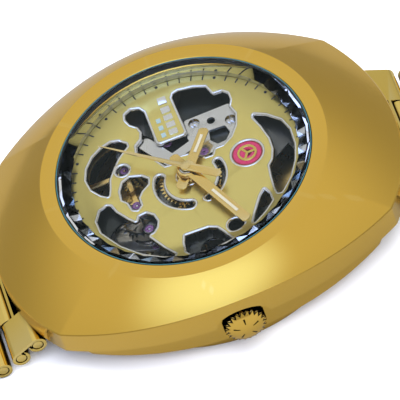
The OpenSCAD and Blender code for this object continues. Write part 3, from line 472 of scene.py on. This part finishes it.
# the crown's profile goes outwards along x: distance, radius, and how deep the flutes are cut there
crownLook = {
    "x": 17.5, "z": 5.6, "flutes": 22, "depth": 0.3, "steps": 8, "dashes": 5, "waveShape": 0.8, "sharp": 50,
    "profile": [(0.0, 0.6, 0), (0.0, 1.15, 0), (0.3, 1.15, 0), (0.3, 1.75, 0), (0.0, 1.75, 0), (0.0, 2.02, 0.6),
                (0.1, 2.22, 1), (0.2, 2.3, 1), (1.3, 2.3, 1), (1.42, 2.24, 1), (1.5, 2.12, 0.5), (1.53, 2.0, 0),
                (1.66, 1.8, 0), (1.80, 1.5, 0), (1.92, 1.1, 0), (1.99, 0.7, 0), (2.03, 0.35, 0), (2.04, 0.02, 0)],
    "zigzag": 0.5, "gleamAt": 1.2, "gleamWidth": (0.13, 0.06), "capFrom": 1.44, "dashWidth": 0.06,
    "dashReach": (0.75, 1.45), "sideShade": (0.006, 0.005, 0.002, 1), "gleam": (0.95, 0.78, 0.34, 1),
    "cap": (0.97, 0.63, 0.12, 1), "cut": (0.03, 0.02, 0.005, 1), "rough": (0.08, 0.16), "roughScale": 700.0,
}


def makeCrown(look):
    # a fluted side painted black as painted shade, with a painted highlight along a pale zigzag, and a gold cap with
    # dark dashes of painted shade where engraved cuts would be
    mat, tree, shader = startMaterial("crownGold")
    shader.inputs["Metallic"].default_value = 1
    place = addNode(tree, "ShaderNodeTexCoord")
    shift = addNode(tree, "ShaderNodeVectorMath", operation="SUBTRACT")
    shift.inputs[1].default_value = (look["x"] * mm, 0, look["z"] * mm)
    split = addNode(tree, "ShaderNodeSeparateXYZ")
    flat = addNode(tree, "ShaderNodeCombineXYZ")
    away = addNode(tree, "ShaderNodeVectorMath", operation="LENGTH")
    # ping-pong at a half makes one tooth, or one dash, for every whole number
    teeth = addMath(tree, "MULTIPLY", look["flutes"] / (2 * math.pi))
    zigzag = addMath(tree, "PINGPONG", 0.5)
    lift = addMath(tree, "MULTIPLY_ADD", -look["zigzag"] * mm)
    lift.inputs[2].default_value = 0
    lean = addMath(tree, "ADD")
    middle = addMath(tree, "SUBTRACT", look["gleamAt"] * mm)
    off = addMath(tree, "ABSOLUTE")
    ridge = addRange(tree, look["gleamWidth"][0] * mm, look["gleamWidth"][1] * mm)
    # painted shade over the fluted side, with a painted highlight along the zigzag ridge
    side = addMix(tree, look["sideShade"], look["gleam"])
    angle = addMath(tree, "ARCTAN2")
    turns = addMath(tree, "MULTIPLY", look["dashes"] / (2 * math.pi))
    wave = addMath(tree, "PINGPONG", 0.5)
    thin = addMath(tree, "LESS_THAN", look["dashWidth"])
    beyond = addMath(tree, "GREATER_THAN", look["dashReach"][0] * mm)
    within = addMath(tree, "LESS_THAN", look["dashReach"][1] * mm)
    both = addMath(tree, "MULTIPLY")
    dash = addMath(tree, "MULTIPLY")
    # painted shade: dark dashes across the gold cap
    cap = addMix(tree, look["cap"], look["cut"])
    outer = addMath(tree, "GREATER_THAN", look["capFrom"] * mm)
    full = addMix(tree)
    soft = useHaze(tree, look)
    tree.links.new(place.outputs["Object"], shift.inputs[0])
    tree.links.new(shift.outputs[0], split.inputs[0])
    tree.links.new(split.outputs["Y"], flat.inputs["X"])
    tree.links.new(split.outputs["Z"], flat.inputs["Y"])
    tree.links.new(flat.outputs[0], away.inputs[0])
    tree.links.new(angle.outputs[0], teeth.inputs[0])
    tree.links.new(teeth.outputs[0], zigzag.inputs[0])
    tree.links.new(zigzag.outputs[0], lift.inputs[0])
    tree.links.new(lift.outputs[0], lean.inputs[0])
    tree.links.new(split.outputs["X"], lean.inputs[1])
    tree.links.new(lean.outputs[0], middle.inputs[0])
    tree.links.new(middle.outputs[0], off.inputs[0])
    tree.links.new(off.outputs[0], ridge.inputs["Value"])
    tree.links.new(ridge.outputs["Result"], side.inputs["Factor"])
    tree.links.new(split.outputs["Y"], angle.inputs[0])
    tree.links.new(split.outputs["Z"], angle.inputs[1])
    tree.links.new(angle.outputs[0], turns.inputs[0])
    tree.links.new(turns.outputs[0], wave.inputs[0])
    tree.links.new(wave.outputs[0], thin.inputs[0])
    tree.links.new(away.outputs["Value"], beyond.inputs[0])
    tree.links.new(away.outputs["Value"], within.inputs[0])
    tree.links.new(beyond.outputs[0], both.inputs[0])
    tree.links.new(within.outputs[0], both.inputs[1])
    tree.links.new(both.outputs[0], dash.inputs[0])
    tree.links.new(thin.outputs[0], dash.inputs[1])
    tree.links.new(dash.outputs[0], cap.inputs["Factor"])
    tree.links.new(lean.outputs[0], outer.inputs[0])
    tree.links.new(outer.outputs[0], full.inputs["Factor"])
    tree.links.new(side.outputs["Result"], full.inputs["A"])
    tree.links.new(cap.outputs["Result"], full.inputs["B"])
    tree.links.new(full.outputs["Result"], shader.inputs["Base Color"])
    tree.links.new(soft.outputs["Roughness"], shader.inputs["Roughness"])
    return mat


crownGold = makeCrown(crownLook)
linkGold = makeLinks(linkLook)
dialGold = makeDial(dialLook)
emblemLacquer = makeEmblem(emblemLook)
sapphire = makeGlass("sapphire", glassLook)
facetGlint = makeFacets("facetGlint", facetLook)
jewelRuby = makeRuby(rubyLook)
print("materials made")


# ---- CAD pieces: material, soft edges and even shading ----
finish = {
    linkGold: ["end_link_12", "end_link_6", "links_12_a", "links_12_b", "links_12_c", "links_12_d", "links_6_a",
               "links_6_b", "links_6_c", "links_6_d", "clasp_cover", "clasp_arm", "clasp_anchor"],
    polishedGold: ["bezel", "case_body", "case_back", "crown"],
    handGold: ["hour_hand", "minute_hand", "seconds_hand", "click", "balance_wheel"],
    dialGold: ["dial", "rehaut_ring"],
    sapphire: ["crystal", "back_crystal"],
    blackRubber: ["crystal_gasket", "back_gasket"],
    blackPrint: ["dial_markers"],
    rimSteel: ["dial_blocks", "crown_tube", "spring_bars"],
    emblemLacquer: ["emblem_disc"],
    blackPlate: ["main_plate", "setting_lever"],
    bridgeSteel: ["dial_side_bridge", "train_bridge", "barrel_bridge", "balance_cock", "rotor", "movement_clamps"],
    pivotSteel: ["winding_stem", "sliding_clutch", "bridge_screws", "cannon_pinion", "ratchet_wheel",
                 "seconds_arbor", "escape_wheel", "pallet_fork", "rotor_bearing"],
    gearBrass: ["hour_wheel", "minute_wheel", "barrel", "centre_wheel", "third_wheel", "fourth_wheel", "sweep_idler"],
    jewelRuby: ["jewels"],
    blueSpring: ["hairspring"],
    springSteel: ["mainspring"],
}
bevelWidth = {"dial": 0.03, "dial_side_bridge": 0.06, "main_plate": 0.05, "train_bridge": 0.06, "crystal": 0.06,
              "hour_hand": 0.05, "minute_hand": 0.05, "case_body": 0.1, "case_back": 0.12, "clasp_cover": 0.2,
              "clasp_arm": 0.08, "clasp_anchor": 0.12, "end_link_12": 0.12, "end_link_6": 0.12, "dial_blocks": 0.03,
              "balance_wheel": 0.04, "rotor": 0.06}
dressLook = {"weld": 0.0005, "bevel": 0.025, "linkBevel": 0.06, "segments": 2, "corner": 38, "weight": 60}
plainNodes = ["crystal_gasket", "back_gasket", "dial_markers", "hairspring", "mainspring", "bridge_screws", "jewels",
              "rotor_bearing", "back_crystal"]


def dressCad(name, mat, look):
    obj = nodes[name]
    obj.data.materials.clear()
    obj.data.materials.append(mat)
    obj.data.polygons.foreach_set("use_smooth", [True] * len(obj.data.polygons))
    weld = obj.modifiers.new("weld", "WELD")
    weld.merge_threshold = look["weld"] * mm
    if name not in plainNodes:
        bevel = obj.modifiers.new("softEdges", "BEVEL")
        usual = look["linkBevel"] if name.startswith("links") else look["bevel"]
        bevel.width = bevelWidth.get(name, usual) * mm
        bevel.segments = look["segments"]
        bevel.limit_method = "ANGLE"
        bevel.angle_limit = math.radians(look["corner"])
    even = obj.modifiers.new("evenShade", "WEIGHTED_NORMAL")
    even.keep_sharp = True
    even.weight = look["weight"]


for mat, names in finish.items():
    for name in names:
        dressCad(name, mat, dressLook)
print("CAD pieces dressed")


# ---- meshes made here ----
def addPiece(name, points, faces, mat, body, smooth=True, sharp=35):
    mesh = bpy.data.meshes.new(name)
    mesh.from_pydata([Vector(p) * mm for p in points], [], faces)
    mesh.materials.append(mat)
    mesh.update()
    if smooth:
        mesh.polygons.foreach_set("use_smooth", [True] * len(mesh.polygons))
        mesh.set_sharp_from_angle(angle=math.radians(sharp))
    obj = bpy.data.objects.new(name, mesh)
    scene.collection.objects.link(obj)
    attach(obj, body)
    return obj


def loftFaces(rings, around, closeRings=True):
    # quads between neighbouring rings of points
    faces = []
    for r in range(rings if closeRings else rings - 1):
        for i in range(around):
            a, b = r * around + i, r * around + (i + 1) % around
            c, d = (r + 1) % rings * around + (i + 1) % around, (r + 1) % rings * around + i
            faces.append((a, b, c, d))
    return faces


# ---- bezel ----
bezelLook = {
    "length": 45.0, "width": 37.6, "top": 11.9, "ring": 15.55, "seat": 13.87, "opening": 13.0, "seatZ": 10.4,
    "sideDrop": 2.4, "cornerDrop": 4.55, "flankDrop": 5.6, "cornerX": 12.68, "cornerY": 18.51, "bulge": 0.9,
    "sideSteps": 220, "endSteps": 150, "slopeSteps": 16, "notchY": 2.9, "notchZ": 6.2, "notchRise": 1.8,
    "corner": 0.06, "skirt": 16.0, "insideZ": 9.2, "chamfer": 0.05, "ringStep": 0.03, "slopeEnd": 0.985,
    "endRise": 1.65, "endShape": 1.6, "lip": 1.3, "sharp": 10,
}


def caseOutline(look):
    halfW, halfL = look["width"] / 2, look["length"] / 2
    sideSag, endSag = halfW - look["cornerX"], halfL - look["cornerY"]
    sideR = (look["cornerY"] ** 2 + sideSag ** 2) / (2 * sideSag)
    endR = (look["cornerX"] ** 2 + endSag ** 2) / (2 * endSag)
    sideHalf, endHalf = math.asin(look["cornerY"] / sideR), math.asin(look["cornerX"] / endR)
    points = []
    for s in (1, -1):
        for i in range(look["sideSteps"]):
            a = sideHalf * (2 * i / look["sideSteps"] - 1)
            points.append((s * (halfW - sideR + sideR * math.cos(a)), s * sideR * math.sin(a)))
        for i in range(look["endSteps"]):
            a = endHalf * (2 * i / look["endSteps"] - 1)
            points.append((-s * endR * math.sin(a), s * (halfL - endR + endR * math.cos(a))))
    return points


def bezelRings(look, outline):
    top, rings = look["top"], []
    angles = [math.atan2(y / look["length"], x / look["width"]) for x, y in outline]

    def circle(r, z):
        return [(r * math.cos(a), r * math.sin(a), z) for a in angles]

    def share(y):
        return (abs(y) / look["cornerY"]) ** look["endShape"]

    def edgeZ(y):
        return top - look["sideDrop"] - (look["cornerDrop"] - look["sideDrop"]) * share(y)

    def lowZ(x, y):
        z = top - look["flankDrop"] - look["endRise"] * share(y)
        if x > 0 and abs(y) < look["notchY"]:
            arch = look["notchZ"] + look["notchRise"] * math.sqrt(1 - (y / look["notchY"]) ** 2)
            z = max(z, arch)
        return z

    def inset(d, lift):
        made = []
        for x, y in outline:
            keep = 1 - d / math.hypot(x, y)
            made.append((x * keep, y * keep, lift(x, y)))
        return made

    rings.append(circle(look["opening"], look["insideZ"]))
    rings.append(circle(look["opening"], look["seatZ"]))
    rings.append(circle(look["seat"], look["seatZ"]))
    rings.append(circle(look["seat"], top - look["chamfer"]))
    rings.append(circle(look["seat"] + look["chamfer"], top))
    rings.append(circle(look["ring"] - look["ringStep"], top))
    for k in range(look["slopeSteps"] + 1):
        t = k / look["slopeSteps"] * look["slopeEnd"]
        ring = []
        for (x, y), a in zip(outline, angles):
            cx, cy = look["ring"] * math.cos(a), look["ring"] * math.sin(a)
            z = top + (edgeZ(y) - top) * t + look["bulge"] * t * (1 - t)
            ring.append((cx + (x - cx) * t, cy + (y - cy) * t, z))
        rings.append(ring)
    c = look["corner"]
    rings.append(inset(0.0, lambda x, y: edgeZ(y) - c))
    rings.append(inset(0.0, lambda x, y: lowZ(x, y) + c))
    rings.append(inset(c, lambda x, y: lowZ(x, y)))
    rings.append(inset(look["lip"], lambda x, y: lowZ(x, y)))
    rings.append([(s[0], s[1], lowZ(*p)) for s, p in zip(circle(look["skirt"], top), outline)])
    rings.append(circle(look["skirt"], look["insideZ"]))
    return rings


outline = caseOutline(bezelLook)
rings = bezelRings(bezelLook, outline)
faces = [face[::-1] for face in loftFaces(len(rings), len(outline))]
bezel = addPiece("bezelShell", [p for ring in rings for p in ring], faces, polishedGold, "case",
                 sharp=bezelLook["sharp"])
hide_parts("bezel")
print("bezel lofted")


# ---- crown ----
def crownRings(look):
    around = look["flutes"] * look["steps"]
    points = []
    for out, r, flute in look["profile"]:
        for i in range(around):
            wave = abs(2 * ((i / look["steps"]) % 1) - 1) ** look["waveShape"]
            radius = r - look["depth"] * flute * wave
            a = 2 * math.pi * i / around
            points.append((look["x"] + out, radius * math.cos(a), look["z"] + radius * math.sin(a)))
    return points, len(look["profile"]), around


points, count, around = crownRings(crownLook)
faces = loftFaces(count, around, closeRings=False)
faces.append(tuple(range((count - 1) * around, count * around)))
crown = addPiece("crownHead", points, faces, crownGold, "crown_and_stem", sharp=crownLook["sharp"])
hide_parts("crown")
print("crown lofted")


# ---- polished rims round the dial's openings ----
rimLook = {"profile": [(-0.17, -0.01), (-0.13, 0.035), (-0.03, 0.05), (0.08, -0.01), (0.15, -0.12), (0.17, -0.3),
                       (0.02, -0.33)],
           "topNormal": 0.9, "wallNormal": 0.3, "minArea": 1.6, "maxReach": 12.6, "minCorners": 8, "leanLimit": 0.75,
           "keyDigits": 3, "sharp": 60}


def dialOpenings(look):
    # the edges between the dial's top face and its walls, followed round into closed loops
    mesh = nodes["dial"].data
    keys = [tuple(round(c / mm, look["keyDigits"]) for c in v.co) for v in mesh.vertices]
    sides, links = {}, {}
    for face in mesh.polygons:
        ring = [keys[v] for v in face.vertices]
        for a, b in zip(ring, ring[1:] + ring[:1]):
            sides.setdefault((min(a, b), max(a, b)), []).append(face.normal.z)
    for (a, b), rise in sides.items():
        if a != b and max(rise) > look["topNormal"] and min(abs(r) for r in rise) < look["wallNormal"]:
            links.setdefault(a, []).append(b)
            links.setdefault(b, []).append(a)
    loops, left = [], set(links)
    while left:
        here = min(left)
        left.discard(here)
        loop = [here]
        while True:
            ahead = [k for k in links[here] if k in left]
            if not ahead:
                break
            here = min(ahead)
            left.discard(here)
            loop.append(here)
        loops.append([Vector(k) for k in loop])
    return loops


def addRims(look):
    made = 0
    for loop in dialOpenings(look):
        reach = max(math.hypot(p.x, p.y) for p in loop)
        if len(loop) < look["minCorners"] or reach > look["maxReach"]:
            continue
        count = len(loop)
        area = sum(p.x * q.y - q.x * p.y for p, q in zip(loop, loop[1:] + loop[:1])) / 2
        if abs(area) < look["minArea"]:
            continue
        if area < 0:
            loop = loop[::-1]
        inward = []
        for i in range(count):
            before, here, after = loop[i - 1], loop[i], loop[(i + 1) % count]
            one, two = (here - before).to_2d().normalized(), (after - here).to_2d().normalized()
            mean = (one + two).normalized()
            lean = max(look["leanLimit"], mean.dot(one))
            inward.append(Vector((-mean.y, mean.x)) / lean)
        points = [(p.x + n.x * d, p.y + n.y * d, p.z + z) for d, z in look["profile"] for p, n in zip(loop, inward)]
        faces = loftFaces(len(look["profile"]), count)
        addPiece("windowRim%d" % made, points, faces, rimSteel, "case", sharp=look["sharp"])
        made += 1
    print("window rims:", made)


addRims(rimLook)


# ---- gleaming triangles under the crystal's rim, carrying painted glints and reflections in place of its cut facets ----
def addFacets(look):
    # two zigzag rows of points, joined by flat triangles that lean to either side in turn
    points, faces = [], []
    steps = round(look["count"] * (look["to"] - look["from"]) / 360) * 2
    for i in range(steps + 1):
        a = math.radians(look["from"] + (look["to"] - look["from"]) * i / steps)
        swing = look["swing"] * (1 if i % 2 else -1)
        points.append(((look["inner"] - swing) * math.cos(a), (look["inner"] - swing) * math.sin(a), look["z"][0]))
        points.append(((look["outer"] + swing) * math.cos(a), (look["outer"] + swing) * math.sin(a), look["z"][1]))
    for i in range(steps):
        low, high, lowNext, highNext = 2 * i, 2 * i + 1, 2 * i + 2, 2 * i + 3
        if i % 2:
            faces += [(low, highNext, high), (low, lowNext, highNext)]
        else:
            faces += [(low, lowNext, high), (lowNext, highNext, high)]
    addPiece("facetGlintBand", points, faces, facetGlint, "case", smooth=False)


addFacets(facetLook)
print("facets added")


# ---- the thin line round the crystal ----
lineLook = {"inner": 13.74, "outer": 13.80, "z": (11.86, 11.89), "around": 180}


def addLine(look):
    (low, high), around = look["z"], look["around"]
    section = [(look["inner"], high), (look["inner"], low), (look["outer"], low), (look["outer"], high)]
    angles = [2 * math.pi * i / around for i in range(around)]
    points = [(r * math.cos(a), r * math.sin(a), z) for r, z in section for a in angles]
    addPiece("crystalLine", points, loftFaces(len(section), around), tealLine, "case")


addLine(lineLook)
print("crystal line added")


# ---- light slots in the hands, and the stripe on the tongue ----
barLook = {"bevel": 0.012, "segments": 2}


def addBar(name, along, across, z, turnDeg, mat, body):
    # a thin bar from along[0] to along[1], turned about the dial's middle
    c, s = math.cos(math.radians(turnDeg)), math.sin(math.radians(turnDeg))
    corner = [(along[0], across[0]), (along[1], across[0]), (along[1], across[1]), (along[0], across[1])]
    flat = [(x * c - y * s, x * s + y * c) for x, y in corner]
    points = [(x, y, z[0]) for x, y in flat] + [(x, y, z[1]) for x, y in flat]
    faces = [(3, 2, 1, 0), (4, 5, 6, 7)] + [(i, (i + 1) % 4, 4 + (i + 1) % 4, 4 + i) for i in range(4)]
    bar = addPiece(name, points, faces, mat, body, smooth=False)
    bevel = bar.modifiers.new("softEdges", "BEVEL")
    bevel.width = barLook["bevel"] * mm
    bevel.segments = barLook["segments"]


handLook = {
    "hour": {"turn": 145.5, "slot": (2.52, 4.88), "half": 0.165, "z": (9.02, 9.17), "body": "hours"},
    "minute": {"turn": 23.4, "slot": (4.42, 8.68), "half": 0.16, "z": (9.5, 9.65), "body": "centre"},
}
for name, look in handLook.items():
    addBar(name + "Lume", look["slot"], (-look["half"], look["half"]), look["z"], look["turn"], lumePaint,
           look["body"])
stripeLook = {"start": -11.0, "step": 1.06, "places": (2, 3, 4), "long": 0.62, "y": (-1.28, -0.78), "z": 8.455,
              "thick": 0.02}
for i in stripeLook["places"]:
    x, z = stripeLook["start"] + stripeLook["step"] * i, stripeLook["z"]
    addBar("paleStripe%d" % i, (x, x + stripeLook["long"]), stripeLook["y"], (z, z + stripeLook["thick"]), 0, paleInk,
           "case")
print("hands and stripes finished")


# ---- camera, floor and lamps ----
# scale is how many of the frame's steps cover one millimetre at the target
view = {"target": (6.1009, 0.1693, 11.9), "distance": 600.0, "elevation": 49.2732, "azimuth": 0.5049, "roll": 21.3233,
        "scale": 9.5933, "sensor": 36, "frame": 400, "clip": (0.01, 20)}


def addCamera(look):
    e, z = math.radians(look["elevation"]), math.radians(look["azimuth"])
    back = Vector((math.cos(e) * math.cos(z), math.cos(e) * math.sin(z), math.sin(e)))
    right = (-back).cross(Vector((0, 0, 1))).normalized()
    up = right.cross(-back)
    c, s = math.cos(math.radians(look["roll"])), math.sin(math.radians(look["roll"]))
    axisX, axisY = right * c - up * s, right * s + up * c
    spot = (Vector(look["target"]) + back * look["distance"]) * mm
    data = bpy.data.cameras.new("camera")
    data.lens = look["scale"] * look["distance"] * look["sensor"] / look["frame"]
    data.clip_start, data.clip_end = look["clip"]
    camera = bpy.data.objects.new("camera", data)
    camera.matrix_world = Matrix.Translation(spot) @ Matrix((axisX, axisY, back)).transposed().to_4x4()
    scene.collection.objects.link(camera)
    scene.camera = camera


floorLook = {"half": 3.0, "rough": 0.9, "patches": 2, "tones": ((0.88, 0.88, 0.88, 1), (0.92, 0.92, 0.92, 1)),
             "mirrored": (0.25, 0.245, 0.235, 1)}


def addFloor(low, look):
    # pale to the camera, darker in reflections and in the light it sends back
    mesh = bpy.data.meshes.new("floor")
    corners = [(x * look["half"], y * look["half"], low) for x, y in ((-1, -1), (1, -1), (1, 1), (-1, 1))]
    mesh.from_pydata(corners, [], [(0, 1, 2, 3)])
    mat, tree, shader = startMaterial("paleFloor")
    shader.inputs["Roughness"].default_value = look["rough"]
    noise = addNode(tree, "ShaderNodeTexNoise")
    noise.inputs["Scale"].default_value = look["patches"]
    tone = addMix(tree, *look["tones"])
    seen = addMix(tree, look["mirrored"])
    path = addNode(tree, "ShaderNodeLightPath")
    tree.links.new(noise.outputs["Fac"], tone.inputs["Factor"])
    tree.links.new(path.outputs["Is Camera Ray"], seen.inputs["Factor"])
    tree.links.new(tone.outputs["Result"], seen.inputs["B"])
    tree.links.new(seen.outputs["Result"], shader.inputs["Base Color"])
    mesh.materials.append(mat)
    floor = bpy.data.objects.new("floor", mesh)
    scene.collection.objects.link(floor)


lampLook = {
    "keyBox": {"azimuth": 20, "elevation": 60, "distance": 0.8, "size": 0.6, "power": 9},
    "fillBox": {"azimuth": -140, "elevation": 50, "distance": 0.9, "size": 0.6, "power": 7},
}


def addLamp(name, look):
    # a square soft box that lights matt surfaces, and that metal and glass do not mirror
    data = bpy.data.lights.new(name, "AREA")
    data.shape = "RECTANGLE"
    data.size = data.size_y = look["size"]
    data.energy = look["power"]
    lamp = bpy.data.objects.new(name, data)
    lamp.visible_glossy = lamp.visible_transmission = False
    e, a = math.radians(look["elevation"]), math.radians(look["azimuth"])
    toLamp = Vector((math.cos(e) * math.cos(a), math.cos(e) * math.sin(a), math.sin(e)))
    lamp.location = toLamp * look["distance"]
    lamp.rotation_euler = toLamp.to_track_quat("Z", "Y").to_euler()
    scene.collection.objects.link(lamp)


studio = {"low": 0.36, "mid": 0.66, "rise": (0.1, 0.78), "front": 0.80, "aim": (0.50, -0.12, 0.86),
          "spread": (0.80, 1.0), "plain": (1, 1, 1, 1), "cool": (0.60, 0.98, 2.2, 1)}


def buildWorld(look):
    # a soft tent: dim near the floor, even above it, brightest over the front
    world = bpy.data.worlds.new("studio")
    world.use_nodes = True
    tree = world.node_tree
    background = tree.nodes["Background"]
    place = addNode(tree, "ShaderNodeTexCoord")
    split = addNode(tree, "ShaderNodeSeparateXYZ")
    rise = addRange(tree, *look["rise"], smooth=True)
    rise.inputs["To Min"].default_value = look["low"]
    rise.inputs["To Max"].default_value = look["mid"]
    aim = addNode(tree, "ShaderNodeVectorMath", operation="DOT_PRODUCT")
    aim.inputs[1].default_value = look["aim"]
    glow = addRange(tree, *look["spread"], smooth=True)
    glow.inputs["To Max"].default_value = look["front"]
    total = addMath(tree, "ADD")
    tree.links.new(place.outputs["Generated"], split.inputs[0])
    tree.links.new(split.outputs["Z"], rise.inputs["Value"])
    tree.links.new(place.outputs["Generated"], aim.inputs[0])
    tree.links.new(aim.outputs["Value"], glow.inputs["Value"])
    tree.links.new(rise.outputs["Result"], total.inputs[0])
    tree.links.new(glow.outputs["Result"], total.inputs[1])
    even = addMix(tree, look["plain"], look["cool"])
    share = addMath(tree, "DIVIDE")
    tree.links.new(glow.outputs["Result"], share.inputs[0])
    tree.links.new(total.outputs[0], share.inputs[1])
    tree.links.new(share.outputs[0], even.inputs["Factor"])
    tree.links.new(even.outputs["Result"], background.inputs["Color"])
    tree.links.new(total.outputs[0], background.inputs["Strength"])
    scene.world = world


addCamera(view)
addFloor(cadBounds[0].z, floorLook)
buildWorld(studio)
for name, look in lampLook.items():
    addLamp(name, look)
scene.view_settings.view_transform = "Standard"
print("studio set")
